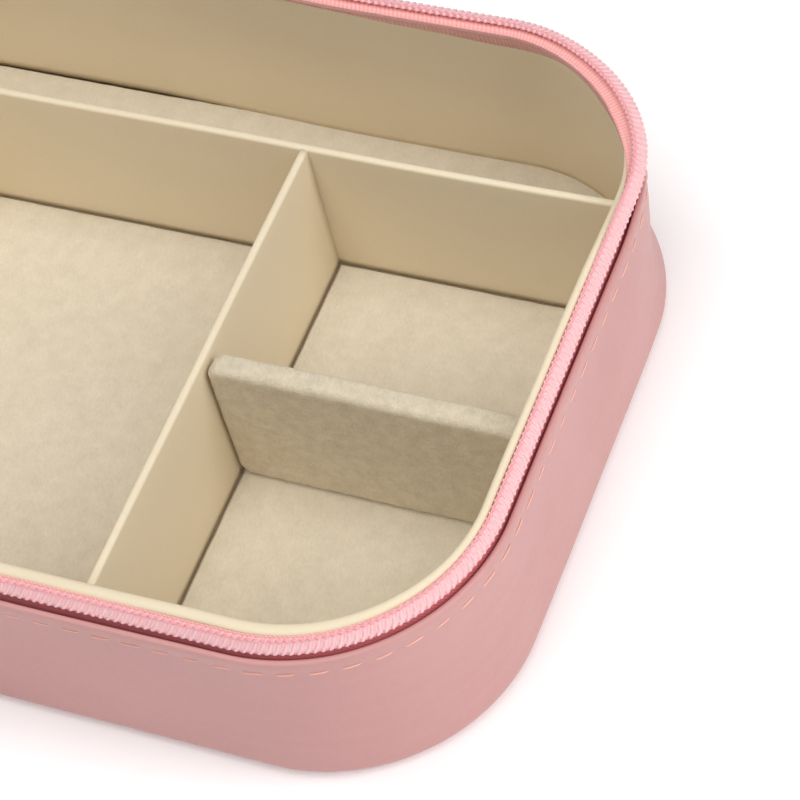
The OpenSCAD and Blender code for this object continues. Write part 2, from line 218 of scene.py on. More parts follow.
def quarter_steps(degrees):
    """How far in and how far up a round edge of radius 1 has come, for each angle in degrees."""
    return [(1 - math.cos(math.radians(a)), math.sin(math.radians(a))) for a in degrees]


def arc(centre, radius, start, end, steps=6):
    """Points on an arc, angles in degrees."""
    angles = np.radians(np.linspace(start, end, steps + 1))
    return [(centre[0] + radius * math.cos(a), centre[1] + radius * math.sin(a)) for a in angles]


def between(start, end, count):
    """The points that cut the straight line from start to end into count parts."""
    return [(start[0] + (end[0] - start[0]) * k / count, start[1] + (end[1] - start[1]) * k / count)
            for k in range(1, count)]


def densify(section, step):
    """Adds points to a closed section so that none of its sides is longer than step."""
    out = []
    for i, p in enumerate(section):
        q = section[(i + 1) % len(section)]
        out += [p] + between(p, q, max(1, math.ceil(math.dist(p, q) / step)))
    return out


def carry_round(name, section, step, zipped=False, shape=None, matrix=None):
    """Carries a closed section of (inset, height) points round the case, or round its zipped part.
    shape(along, inset, height) may move the points."""
    section = np.array(section, float)
    length = OUTLINE.zipped if zipped else OUTLINE.whole
    count = max(8, round(length / step))
    along = np.linspace(0, length, count + 1) if zipped else np.arange(count) * length / count
    grid_u = np.repeat(along[:, None], len(section), 1)
    inset = np.repeat(section[None, :, 0], len(along), 0)
    height = np.repeat(section[None, :, 1], len(along), 0)
    if shape is not None:
        inset, height = shape(grid_u, inset, height)
    points = OUTLINE.points(grid_u.ravel(), inset.ravel(), height.ravel())
    if zipped:
        faces = tube_faces(len(along), len(section))
    else:
        faces = grid_faces(len(along), len(section), close_rows=True, close_columns=True)
    girth = np.concatenate([[0], np.cumsum(np.hypot(*np.diff(section, axis=0).T))])
    uv = np.stack([grid_u.ravel(), np.tile(girth, len(along))], -1)
    return make_object(name, points, faces, uv, matrix)


def tube(centres, radius, sides, outward, first=0):
    """Points and faces of a closed-ended tube along centres. outward gives each ring's rough normal."""
    centres = np.asarray(centres, float)
    tangent = np.gradient(centres, axis=0)
    tangent /= np.linalg.norm(tangent, axis=1)[:, None]
    normal = outward - (outward * tangent).sum(1)[:, None] * tangent
    normal /= np.linalg.norm(normal, axis=1)[:, None]
    side = np.cross(tangent, normal)
    a = np.arange(sides) * 2 * math.pi / sides
    radius = np.broadcast_to(radius, (len(centres),))
    ring = (np.cos(a)[None, :, None] * normal[:, None] + np.sin(a)[None, :, None] * side[:, None])
    points = (centres[:, None] + ring * radius[:, None, None]).reshape(-1, 3)
    return points, tube_faces(len(centres), sides, first, turned_round=True)


# ---------------------------------------------------------------- material helpers
def new_group(name, inputs, outputs):
    """A shader node group. Inputs are (name, socket type, default), outputs (name, socket type)."""
    group = bpy.data.node_groups.new(name, "ShaderNodeTree")
    for label, kind, default in inputs:
        socket = group.interface.new_socket(name=label, in_out="INPUT", socket_type=kind)
        if default is not None:
            socket.default_value = default
    for label, kind in outputs:
        group.interface.new_socket(name=label, in_out="OUTPUT", socket_type=kind)
    return group, group.nodes.new("NodeGroupInput"), group.nodes.new("NodeGroupOutput")


def math_node(tree, operation, a, b=None):
    node = tree.nodes.new("ShaderNodeMath")
    node.operation = operation
    for i, value in enumerate((a, b)):
        if isinstance(value, (int, float)):
            node.inputs[i].default_value = value
        elif value is not None:
            tree.links.new(value, node.inputs[i])
    return node.outputs[0]


def mix_colour(tree, factor, a, b):
    node = tree.nodes.new("ShaderNodeMix")
    node.data_type = "RGBA"
    for socket, value in ((node.inputs[0], factor), (node.inputs[6], a), (node.inputs[7], b)):
        if isinstance(value, (int, float)):
            socket.default_value = value
        elif isinstance(value, tuple):
            socket.default_value = (*value, 1)
        else:
            tree.links.new(value, socket)
    return node.outputs[2]


def noise_node(tree, vector, scale, detail, roughness=0.5):
    """Noise on a vector. Its scale is a number or another socket."""
    node = tree.nodes.new("ShaderNodeTexNoise")
    node.inputs["Detail"].default_value = detail
    node.inputs["Roughness"].default_value = roughness
    if isinstance(scale, (int, float)):
        node.inputs["Scale"].default_value = scale
    else:
        tree.links.new(scale, node.inputs["Scale"])
    tree.links.new(vector, node.inputs["Vector"])
    return node.outputs["Fac"]


def remap(tree, value, low, high, to_low, to_high):
    node = tree.nodes.new("ShaderNodeMapRange")
    for i, v in enumerate((low, high, to_low, to_high)):
        node.inputs[i + 1].default_value = v
    tree.links.new(value, node.inputs[0])
    return node.outputs[0]


def new_material(name, colour, roughness, **settings):
    """A material with one Principled shader. Settings are its sockets by name, with _ for a space."""
    material = bpy.data.materials.new(name)
    material.use_nodes = True
    tree = material.node_tree
    shader = tree.nodes["Principled BSDF"]
    shader.inputs["Base Color"].default_value = (*colour, 1)
    shader.inputs["Roughness"].default_value = roughness
    for key, value in settings.items():
        shader.inputs[key.replace("_", " ")].default_value = value
    return material, tree, shader


def use_group(tree, group, **values):
    node = tree.nodes.new("ShaderNodeGroup")
    node.node_tree = group
    for key, value in values.items():
        node.inputs[key.replace("_", " ")].default_value = value
    coords = tree.nodes.new("ShaderNodeTexCoord")
    tree.links.new(coords.outputs["Object"], node.inputs["Vector"])
    return node


def add_bump(tree, shader, height, distance, strength):
    bump = tree.nodes.new("ShaderNodeBump")
    bump.inputs["Distance"].default_value = distance
    bump.inputs["Strength"].default_value = strength
    tree.links.new(height, bump.inputs["Height"])
    tree.links.new(bump.outputs[0], shader.inputs["Normal"])


def colour_group():
    """Slow drifts of colour: a lighter and a darker version of one colour, mottled at two scales."""
    group, take, give = new_group("colour_drift", [
        ("Vector", "NodeSocketVector", None), ("Colour", "NodeSocketColor", (1, 1, 1, 1)),
        ("Second Colour", "NodeSocketColor", (1, 1, 1, 1)), ("Large Scale", "NodeSocketFloat", 30.0),
        ("Small Scale", "NodeSocketFloat", 600.0), ("Small Share", "NodeSocketFloat", 0.4)],
        [("Colour", "NodeSocketColor"), ("Mask", "NodeSocketFloat")])
    blend = group.nodes.new("ShaderNodeMix")
    group.links.new(take.outputs["Small Share"], blend.inputs[0])
    for label, side in (("Large Scale", 2), ("Small Scale", 3)):
        mottle = noise_node(group, take.outputs["Vector"], take.outputs[label], 3)
        group.links.new(remap(group, mottle, 0.3, 0.7, 0, 1), blend.inputs[side])
    mask = blend.outputs[0]
    colour = mix_colour(group, mask, take.outputs["Colour"], take.outputs["Second Colour"])
    group.links.new(colour, give.inputs["Colour"])
    group.links.new(mask, give.inputs["Mask"])
    return group


def grain_group():
    """The height of a pressed leather grain: small flat cells with soft creases between them."""
    group, take, give = new_group("leather_grain", [
        ("Vector", "NodeSocketVector", None), ("Cell Scale", "NodeSocketFloat", 1500.0),
        ("Crease", "NodeSocketFloat", 0.25)], [("Height", "NodeSocketFloat")])
    cells = group.nodes.new("ShaderNodeTexVoronoi")
    cells.feature = "DISTANCE_TO_EDGE"
    group.links.new(take.outputs["Vector"], cells.inputs["Vector"])
    group.links.new(take.outputs["Cell Scale"], cells.inputs["Scale"])
    crease = group.nodes.new("ShaderNodeMapRange")
    crease.interpolation_type = "SMOOTHSTEP"
    group.links.new(cells.outputs["Distance"], crease.inputs[0])
    group.links.new(take.outputs["Crease"], crease.inputs[2])
    fine = noise_node(group, take.outputs["Vector"], 3500, 2)
    height = math_node(group, "ADD", crease.outputs[0], math_node(group, "MULTIPLY", fine, 0.35))
    group.links.new(height, give.inputs["Height"])
    return group


def nap_group():
    """The nap of short velvet: fine fibres lying in patches, a height and a light and dark mask."""
    group, take, give = new_group("velvet_nap", [
        ("Vector", "NodeSocketVector", None), ("Fibre Scale", "NodeSocketFloat", 2600.0),
        ("Patch Scale", "NodeSocketFloat", 260.0)],
        [("Height", "NodeSocketFloat"), ("Shade", "NodeSocketFloat")])
    stretch = group.nodes.new("ShaderNodeMapping")
    stretch.inputs["Scale"].default_value = (1.0, 0.45, 1.0)
    stretch.inputs["Rotation"].default_value = (0, 0, 0.5)
    group.links.new(take.outputs["Vector"], stretch.inputs["Vector"])
    fibre = noise_node(group, stretch.outputs[0], take.outputs["Fibre Scale"], 3)
    patch = noise_node(group, take.outputs["Vector"], take.outputs["Patch Scale"], 4, 0.6)
    height = math_node(group, "ADD", fibre, math_node(group, "MULTIPLY", patch, 1.4))
    shade = math_node(group, "ADD", math_node(group, "MULTIPLY", fibre, 0.45),
                      math_node(group, "MULTIPLY", patch, 0.55))
    group.links.new(height, give.inputs["Height"])
    group.links.new(remap(group, shade, 0.36, 0.64, 0, 1), give.inputs["Shade"])
    return group


def weave_group():
    """A tight twill on the piece's own map, in metres: a height, and a mask of painted shade that is highest
    in the gaps between its threads.
    """
    group, take, give = new_group("tape_weave", [("Thread Scale", "NodeSocketFloat", 2200.0)],
                                  [("Height", "NodeSocketFloat"), ("Gap", "NodeSocketFloat")])
    place = group.nodes.new("ShaderNodeUVMap")
    split = group.nodes.new("ShaderNodeSeparateXYZ")
    group.links.new(place.outputs[0], split.inputs[0])
    u = math_node(group, "MULTIPLY", split.outputs[0], take.outputs[0])
    v = math_node(group, "MULTIPLY", split.outputs[1], take.outputs[0])
    threads = []
    for run, turn in ((math_node(group, "ADD", u, v), math.pi / 2), (v, math.pi)):
        bend = math_node(group, "SINE", math_node(group, "MULTIPLY", run, turn))
        threads.append(math_node(group, "ABSOLUTE", bend))
    rib, cross = threads
    crossing = math_node(group, "ADD", math_node(group, "MULTIPLY", cross, 0.6), 0.4)
    height = math_node(group, "MULTIPLY", rib, crossing)
    group.links.new(height, give.inputs["Height"])
    # painted shade in the weave: 1 where the threads are lowest, used to darken the colour there
    group.links.new(math_node(group, "SUBTRACT", 1.0, height), give.inputs["Gap"])
    return group


DRIFT = colour_group()
GRAIN = grain_group()
NAP = nap_group()
WEAVE = weave_group()


def drifting_tone(tree, shader, light, dark, large, small, share):
    """Gives the base colour slow drifts between two tones, and returns the drift's mask."""
    drift = use_group(tree, DRIFT, Colour=(*light, 1), Second_Colour=(*dark, 1),
                      Large_Scale=large, Small_Scale=small, Small_Share=share)
    tree.links.new(drift.outputs["Colour"], shader.inputs["Base Color"])
    return drift.outputs["Mask"]


def uneven_gloss(tree, shader, mask, low, high):
    tree.links.new(remap(tree, mask, 0, 1, low, high), shader.inputs["Roughness"])


def pressed_grain(tree, shader, scale, crease, depth, strength):
    grain = use_group(tree, GRAIN, Cell_Scale=scale, Crease=crease)
    add_bump(tree, shader, grain.outputs["Height"], depth, strength)


def leather_material():
    material, tree, shader = new_material("pink_leather", (0.58, 0.30, 0.285), 0.42, Specular_IOR_Level=0.3,
                                          Coat_Weight=0.05, Coat_Roughness=0.35)
    mask = drifting_tone(tree, shader, (0.60, 0.315, 0.30), (0.555, 0.28, 0.268), 22.0, 900.0, 0.25)
    pressed_grain(tree, shader, 1700.0, 0.22, 0.00002, 0.35)
    uneven_gloss(tree, shader, mask, 0.38, 0.5)
    return material


def liner_material():
    material, tree, shader = new_material("beige_liner", (0.74, 0.65, 0.50), 0.5, Specular_IOR_Level=0.35)
    mask = drifting_tone(tree, shader, (0.82, 0.71, 0.52), (0.765, 0.655, 0.475), 18.0, 1400.0, 0.3)
    pressed_grain(tree, shader, 2600.0, 0.3, 0.00001, 0.3)
    uneven_gloss(tree, shader, mask, 0.46, 0.56)
    return material


def velvet_material(name, light, dark, patch=260.0):
    material, tree, shader = new_material(name, light, 0.95, Specular_IOR_Level=0.12, Sheen_Weight=0.25,
                                          Sheen_Roughness=0.45)
    shader.inputs["Sheen Tint"].default_value = (1.0, 0.93, 0.80, 1)
    nap = use_group(tree, NAP, Fibre_Scale=2400.0, Patch_Scale=patch)
    tree.links.new(mix_colour(tree, nap.outputs["Shade"], dark, light), shader.inputs["Base Color"])
    add_bump(tree, shader, nap.outputs["Height"], 0.00022, 0.55)
    return material


def tape_material():
    """Woven tape, pale where it shows beside the coil; below the coil a deep red is painted on as painted
    shade.
    """
    material, tree, shader = new_material("zipper_tape", (0.86, 0.38, 0.40), 0.85, Specular_IOR_Level=0.2,
                                          Sheen_Weight=0.2)
    weave = tree.nodes.new("ShaderNodeGroup")
    weave.node_tree = WEAVE
    # each tone is darkened in the gaps between threads as painted shade
    pale = mix_colour(tree, weave.outputs["Gap"], (0.93, 0.52, 0.49), (0.82, 0.36, 0.34))
    # painted shade: these deep red tones stand in for the shade in the gap below the coil
    deep = mix_colour(tree, weave.outputs["Gap"], (0.80, 0.20, 0.22), (0.66, 0.13, 0.15))
    place = tree.nodes.new("ShaderNodeUVMap")
    split = tree.nodes.new("ShaderNodeSeparateXYZ")
    tree.links.new(place.outputs["UV"], split.inputs[0])
    # mask of the painted shade: deep red on the lower part of the tape's map, the tape's own pale colour
    # above it
    clear_of_painted_shade = remap(tree, split.outputs["Y"], 4.6 * MM, 5.4 * MM, 0, 1)
    tree.links.new(mix_colour(tree, clear_of_painted_shade, deep, pale), shader.inputs["Base Color"])
    add_bump(tree, shader, weave.outputs["Height"], 0.00012, 0.8)
    return material


def thread_material(name, colour, second, **settings):
    """Twisted thread or moulded filament: fine streaks across a base colour."""
    material, tree, shader = new_material(name, colour, 0.6, Specular_IOR_Level=0.3, **settings)
    shader.inputs["Subsurface Radius"].default_value = (1.0, 0.5, 0.5)
    shader.inputs["Subsurface Scale"].default_value = 0.5 * MM
    mask = drifting_tone(tree, shader, colour, second, 500.0, 5000.0, 0.5)
    add_bump(tree, shader, mask, 0.00004, 0.4)
    return material


def board_material():
    material, tree, shader = new_material("pressed_board", (0.32, 0.25, 0.18), 0.85)
    mask = drifting_tone(tree, shader, (0.36, 0.29, 0.21), (0.26, 0.20, 0.14), 300.0, 2500.0, 0.6)
    add_bump(tree, shader, mask, 0.0001, 0.5)
    return material


def metal_material():
    material, tree, shader = new_material("rose_gold", (0.90, 0.62, 0.46), 0.2, Metallic=1.0)
    mask = drifting_tone(tree, shader, (0.92, 0.65, 0.50), (0.84, 0.55, 0.41), 120.0, 3000.0, 0.3)
    uneven_gloss(tree, shader, mask, 0.14, 0.3)
    add_bump(tree, shader, mask, 0.00001, 0.2)
    return material


def mirror_material():
    material, tree, shader = new_material("mirror_glass", (0.93, 0.94, 0.95), 0.03, Metallic=1.0)
    mask = drifting_tone(tree, shader, (0.94, 0.95, 0.96), (0.90, 0.92, 0.93), 40.0, 1500.0, 0.2)
    uneven_gloss(tree, shader, mask, 0.02, 0.05)
    return material


LEATHER = leather_material()
LINER = liner_material()
VELVET = velvet_material("velvet_floor", (0.76, 0.68, 0.54), (0.67, 0.595, 0.465))
VELVET_DIVIDER = velvet_material("velvet_divider", (0.70, 0.62, 0.475), (0.565, 0.49, 0.365), 420.0)
TAPE = tape_material()
COIL = thread_material("nylon_coil", (0.97, 0.56, 0.57), (0.95, 0.49, 0.51), Subsurface_Weight=0.5)
SEWING = thread_material("coil_thread", (0.93, 0.42, 0.45), (0.88, 0.36, 0.39), Subsurface_Weight=0.3)
STITCH = thread_material("edge_thread", (0.95, 0.56, 0.46), (0.88, 0.46, 0.37))
BOARD = board_material()
METAL = metal_material()
MIRROR = mirror_material()


def finish_piece(piece, material, slot, body, *replaced):
    piece.data.materials.clear()
    piece.data.materials.append(material)
    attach(piece, body)
    if replaced:
        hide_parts(*replaced)
    return piece


def dress(node, material):
    """Gives its material to a node of the frame that stays."""
    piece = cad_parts[node]
    piece.data.materials.clear()
    piece.data.materials.append(material)
    return piece


# ---------------------------------------------------------------- leather skins
STITCH_PITCH = 5.9 * MM
STITCH_LENGTH = 3.9 * MM
STITCH_DROP = 3.6 * MM
WALL_LEAN = 2.9 * MM
WAIST_TUCK = 2.3 * MM


def skin_section(edge, taper):
    """Closed section of a skin: turned under, up the wall, over the turned edge and back inside."""
    foot = (taper + FOOT, FOOT)
    outside = [(TURN, 0)] + arc(foot, FOOT, 270, 180, 10)
    roll = 0.55 * MM
    top = arc((roll, edge - roll), roll, 180, 90, 5)
    top += arc((SKIN - roll + 0.05 * MM, edge - roll), roll, 90, 0, 5)
    inside = arc(foot, FOOT - SKIN, 180, 270, 8) + [(TURN, SKIN)]
    return densify(outside + top + inside, 0.9 * MM)


def ease(value, low, high):
    """A smooth step from 0 at low to 1 at high."""
    t = np.clip((value - low) / (high - low), 0, 1)
    return t * t * (3 - 2 * t)


def lean(along):
    """How far the walls are drawn in at the back right corner and along the right half of the back."""
    along = along % OUTLINE.whole
    start, end = OUTLINE.starts[4], OUTLINE.starts[5]
    rise = ease(along, start - 0.004, start + 0.045)
    fall = 1 - ease(along, end + 0.030, end + 0.095)
    return WALL_LEAN * rise * fall


def tuck(along):
    """How much further the leather is drawn in under the zipper at that corner."""
    along = along % OUTLINE.whole
    start, end = OUTLINE.starts[4], OUTLINE.starts[5]
    rise = ease(along, start - 0.014, start + 0.018)
    return WAIST_TUCK * rise * (1 - ease(along, end + 0.020, end + 0.080))


def drawn_leather(along, height):
    """How far the leather's face is drawn in there: little at its foot, most at the waist."""
    levels = np.array([0, 4, 10, 16, 22, 31, 43.5]) * MM
    leaning = np.interp(height, levels, [0.58, 0.64, 0.78, 0.90, 0.97, 1.0, 1.0])
    tucked = np.interp(height, levels, [0.04, 0.22, 0.70, 1.06, 1.12, 0.95, 1.0])
    return lean(along) * leaning + tuck(along) * tucked


def turned(along):
    """0 along the front, 1 from the right wall onwards, where the zipper lies flatter."""
    return ease(along % OUTLINE.whole, OUTLINE.starts[2] + 0.004, OUTLINE.starts[3])


def folded(along, early=0.0):
    """How much of the lip the zipper covers: all of it at the back right, none at the front."""
    along = along % OUTLINE.whole
    start, end = OUTLINE.starts[4], OUTLINE.starts[5]
    rise = ease(along, start - 0.006 - early, start + 0.022 - early)
    return rise * (1 - ease(along, end + 0.070 + early, end + 0.100 + early))


def wave(along, centre, width):
    """A soft bump along the outline, 1 at centre."""
    gap = (along - centre + OUTLINE.whole / 2) % OUTLINE.whole - OUTLINE.whole / 2
    return np.exp(-(gap / width) ** 2)


def skin_shape(edge, taper, spread):
    """How the leather departs from its plain section: a rolled edge, a stitched groove with dimples,
    ripples round the corners and a slack top edge where spread says so."""
    groove = edge - STITCH_DROP
    corner_middles = [OUTLINE.starts[i] + OUTLINE.spans[0] / 2 for i in (0, 2, 4, 6)]

    def shape(along, inset, height):
        outer = (inset < SKIN * 0.5 + taper * (1 - height / edge)) & (height > FOOT * 0.6)
        pull = np.exp(-((height - groove) / (0.75 * MM)) ** 2)
        phase = np.cos(2 * math.pi * along / STITCH_PITCH)
        dent = pull * (0.07 + 0.05 * phase) * MM
        roll = -0.12 * MM * np.exp(-((height - edge + 1.6 * MM) / (1.3 * MM)) ** 2)
        corners = sum(wave(along, middle, 0.032) for middle in corner_middles)
        tilt = along * 0.03
        ripple = np.sin((height + tilt) * 2 * math.pi / (6.5 * MM))
        ripple = ripple + 0.6 * np.sin((height - tilt) * 2 * math.pi / (3.9 * MM))
        fade = np.clip((groove - height) / (6 * MM), 0, 1) * np.clip((height - FOOT) / (6 * MM), 0, 1)
        slow = np.sin(along * 2 * math.pi / 0.071 + 1.3) + np.sin(along * 2 * math.pi / 0.043)
        belly = -0.10 * MM * slow * np.sin(np.clip(height / edge, 0, 1) * math.pi)
        inset = inset + np.where(outer, dent + roll + corners * fade * ripple * 0.035 * MM + belly, 0)
        rise = np.clip((height - edge * 0.55) / (edge * 0.45), 0, 1) ** 2
        inset = inset - spread(along) * rise + drawn_leather(along, height)
        return inset, height
    return shape


def base_spread(along):
    """The front edge stands a little away from the zipper, left of the corner."""
    middle = OUTLINE.starts[1] + OUTLINE.spans[1] * 0.68
    return 0.55 * MM * wave(along, middle, 0.036) + 0.12 * MM * wave(along, OUTLINE.starts[4], 0.03)


def lid_spread(along):
    return 0.1 * MM * wave(along, OUTLINE.starts[3], 0.05)


base_skin = carry_round("base_leather_wall", skin_section(EDGE_Z, TAPER), 1.5 * MM,
                        shape=skin_shape(EDGE_Z, TAPER, base_spread))
finish_piece(base_skin, LEATHER, "leather", "base", "base_skin")
lid_skin = carry_round("lid_leather_wall", skin_section(LID_EDGE, 0), 1.5 * MM,
                       shape=skin_shape(LID_EDGE, 0, lid_spread), matrix=LID)
finish_piece(lid_skin, LEATHER, "leather", "lid", "lid_skin")


def stitching(name, edge, spread, body, matrix=None):
    """A row of separate stitches lying in the groove below a turned edge."""
    points, faces = [], []
    count = round(OUTLINE.whole / STITCH_PITCH)
    for i in range(count):
        middle = (i + 0.5) * OUTLINE.whole / count
        t = np.linspace(-1, 1, 9)
        reach = STITCH_LENGTH * (1 + 0.3 * noise.noise(Vector((i * 1.7, 0.5, len(name)))))
        along = middle + t * reach / 2
        lift = 0.15 * MM * (1 - t ** 4) - 0.10 * MM
        rise = np.clip((edge - STITCH_DROP - edge * 0.55) / (edge * 0.45), 0, 1) ** 2
        inset = 0.10 * MM - lift - spread(along) * rise + lean(along) + tuck(along)
        height = edge - STITCH_DROP + t * 0.12 * MM + 0.15 * MM * noise.noise(Vector((i * 2.3, 7, 0)))
        centres = OUTLINE.points(along, inset, height)
        _, _, nx, ny = OUTLINE.place(along)
        outward = np.stack([-nx, -ny, np.zeros_like(nx)], -1)
        ring = 0.16 * MM * np.sqrt(np.clip(1.05 - t ** 6, 0.1, 1))
        p, f = tube(centres, ring, 6, outward, first=len(points) * 54)
        points.append(p)
        faces += f
    piece = make_object(name, np.concatenate(points), faces, matrix=matrix)
    return finish_piece(piece, STITCH, "leather", body)


stitching("base_edge_stitches", EDGE_Z, base_spread, "base")
stitching("lid_edge_stitches", LID_EDGE, lid_spread, "lid", LID)


# ---------------------------------------------------------------- liners
LIP_FLARE = 0.95 * MM
LIP_DROP = 2.2 * MM


def liner_section(lip):
    radius = LINER_THICK / 2
    section = [(LINER_IN, PAD_Z)] + arc((LINER_OUT + radius, lip - radius), radius, 0, 180, 12)
    return densify(section + [(LINER_OUT, PAD_Z)], 2.5 * MM)


def liner_shape(lip):
    """The wrapped board waves slightly, is thicker at the front lip, and leans and drops at the back right.
    Its outer side stays clear of the leather."""
    def shape(along, inset, height):
        slow = np.sin(along * 2 * math.pi / 0.083) + 0.6 * np.sin(along * 2 * math.pi / 0.037 + 2)
        up = np.clip(height / lip, 0, 1)
        drawn = lean(along)
        inner = (inset - LINER_OUT) / LINER_THICK
        inset = inset + 0.07 * MM * slow * up + drawn * (0.5 + 0.5 * up) + drawn * 0.3 * inner * up
        soft = (1 - turned(along)) * ease(height, lip - 6 * MM, lip - 0.5 * MM)
        inset = inset + LIP_FLARE * inner * soft
        leather = TAPER * (1 - up) + drawn_leather(along, height)
        thinnest = LINER_IN + drawn * (0.5 + 0.8 * up) - 0.9 * MM
        inset = np.where(inner < 0.5, np.maximum(inset, np.minimum(leather + 1.0 * MM, thinnest)), inset)
        return inset, height + 0.05 * MM * slow * up ** 8 - LIP_DROP * folded(along, 0.018) * up ** 8
    return shape


base_liner = carry_round("base_lip_and_liner", liner_section(LIP_Z), 2.5 * MM, shape=liner_shape(LIP_Z))
finish_piece(base_liner, LINER, "liner", "base", "base_liner")
lid_liner = carry_round("lid_lip_and_liner", liner_section(LID_DEPTH - 0.2 * MM), 2.5 * MM,
                        shape=liner_shape(LID_DEPTH), matrix=LID)
finish_piece(lid_liner, LINER, "liner", "lid", "lid_liner")


# ---------------------------------------------------------------- zipper
PITCH = 1.47 * MM
COIL_WIDE = 3.3 * MM
COIL_THICK = 1.0 * MM
COIL_WIRE = 0.44 * MM
TAPE_FOLD = 2.8 * MM


def tape_section(edge):
    """The folded tape: up past the leather, behind the coil, over a narrow fold and down beside the lip."""
    low = edge - 3.5 * MM
    lip = LINER_OUT - 0.04 * MM
    line = [(1.75, -3.5), (1.75, -0.5), (1.80, 0.3), (1.92, 1.0), (2.5, 1.85), (3.1, 2.75), (3.45, 3.3)]
    fold = arc((3.66 * MM, edge + 3.26 * MM), 0.2 * MM, 160, 0, 6)
    rise = [(a * MM, edge + b * MM) for a, b in line]
    return densify(rise + fold + [(lip, edge + 3.0 * MM), (lip, low)], 0.45 * MM)


def tape_shape(edge):
    """The tape leans with the walls, lies flatter where the coil does, folds over the lip at the
    back right, and its lower part follows the leather."""
    levels = np.array([0.3, 1.0, 1.85, 2.75, 3.3]) * MM
    inward = np.array([0.0, 0.0, 0.10, 0.30, 0.30]) * MM
    upward = np.array([0.0, 0.35, 0.0, -0.45, -0.75]) * MM

    def shape(along, inset, height):
        level = height - edge
        low = 1 - ease(level, -0.3 * MM, 1.6 * MM)
        turn, fold = turned(along), folded(along)
        beside = ease(inset, 3.5 * MM, 3.9 * MM)
        over = ease(level, 0.4 * MM, 2.4 * MM)
        reach = ease(inset, 2.6 * MM, 3.6 * MM)
        moved_in = turn * np.interp(level, levels, inward) * (1 - beside) + TAPE_FOLD * fold * over * reach
        moved_in = moved_in + TAPE_FOLD * fold * beside * (1 - over)
        moved_up = turn * np.interp(level, levels, upward) - 0.3 * MM * fold * over
        short = fold * beside * np.maximum(0, 2.95 * MM - level)
        return inset + moved_in + lean(along) + tuck(along) * low * (1 - beside), height + moved_up + short
    return shape


def coil_point(along, across, out, edge):
    """A point of the zipper's face, from a distance across the coil and a distance out of it."""
    turn, fold = turned(along), folded(along)
    tilt = np.radians(47 - 22 * turn)
    c, s = np.cos(tilt), np.sin(tilt)
    inset = (2.36 + 0.10 * turn + 0.1 * fold) * MM + across * c - out * s
    height = edge + (2.10 + 0.40 * turn - 0.2 * fold) * MM + across * s + out * c
    return OUTLINE.points(along, inset + lean(along), height)


def coil_loops(turns, edge):
    """One long filament bent into flat slanted loops."""
    per_turn = 16
    t = np.arange(turns * per_turn + 1) / per_turn
    c, s = np.cos(2 * math.pi * t), np.sin(2 * math.pi * t)
    out = (COIL_THICK / 2 - COIL_WIRE) * np.sign(c) * np.abs(c) ** 0.6
    across = (COIL_WIDE / 2 - COIL_WIRE) * np.sign(s) * np.abs(s) ** 0.6
    along = PITCH * (t + 0.8 + 0.34 * s)
    centres = coil_point(along, across, out, edge)
    middle = coil_point(along, np.zeros_like(along), np.zeros_like(along), edge)
    return tube(centres, COIL_WIRE, 6, centres - middle)


def sewing_row(turns, edge):
    """The sewing thread that holds the coil down, dipping between the loops as it goes along."""
    steps = 8
    k = np.arange((turns - 1) * steps + 1) / steps
    dip = 0.5 - 0.5 * np.cos(2 * math.pi * k)
    along = PITCH * (k + 1.05)
    across = 0.34 * COIL_WIDE + (dip - 0.5) * 0.30 * MM
    rise = COIL_THICK / 2 + 0.06 * MM - 0.26 * MM * dip
    line = coil_point(along, across, rise, edge)
    below = coil_point(along, across, rise - 1 * MM, edge)
    return tube(line, 0.22 * MM * (1.1 - 0.3 * dip), 6, line - below)


def core_cord(edge):
    """The flat filler cord that the loops are wound on."""
    count = round(OUTLINE.zipped / PITCH) * 2
    along = np.linspace(PITCH, OUTLINE.zipped - PITCH, count)
    reach, thin = 0.43 * COIL_WIDE, 0.30 * MM
    points = []
    for across, out in ((reach, 0), (reach * 0.7, thin), (-reach * 0.7, thin), (-reach, 0),
                        (-reach * 0.7, -thin), (reach * 0.7, -thin)):
        points.append(coil_point(along, np.full_like(along, across), np.full_like(along, out), edge))
    ring = np.stack(points, 1).reshape(-1, 3)
    return ring, tube_faces(count, 6)


def zipper_half(prefix, edge, body, matrix, *replaced):
    """The tape, the coil of bent filament and the rows of sewing on one half."""
    tape = carry_round(prefix + "_zipper_tape_cloth", tape_section(edge), 1.5 * MM, zipped=True,
                       shape=tape_shape(edge), matrix=matrix)
    finish_piece(tape, TAPE, "zipper_tape", body, replaced[0])
    turns = int(OUTLINE.zipped / PITCH) - 2
    coil = make_object(prefix + "_zipper_coil_loops", *coil_loops(turns, edge), matrix=matrix)
    finish_piece(coil, COIL, "zipper_coil", body, replaced[1])
    sewing = make_object(prefix + "_zipper_sewing", *sewing_row(turns, edge), matrix=matrix)
    finish_piece(sewing, SEWING, "zipper_coil", body)
    core = make_object(prefix + "_zipper_core_cord", *core_cord(edge), matrix=matrix)
    finish_piece(core, COIL, "zipper_coil", body)


zipper_half("base", EDGE_Z, "base", None, "base_zipper_tape", "base_zipper_coil")
zipper_half("lid", LID_EDGE, "lid", LID, "lid_zipper_tape", "lid_zipper_coil")


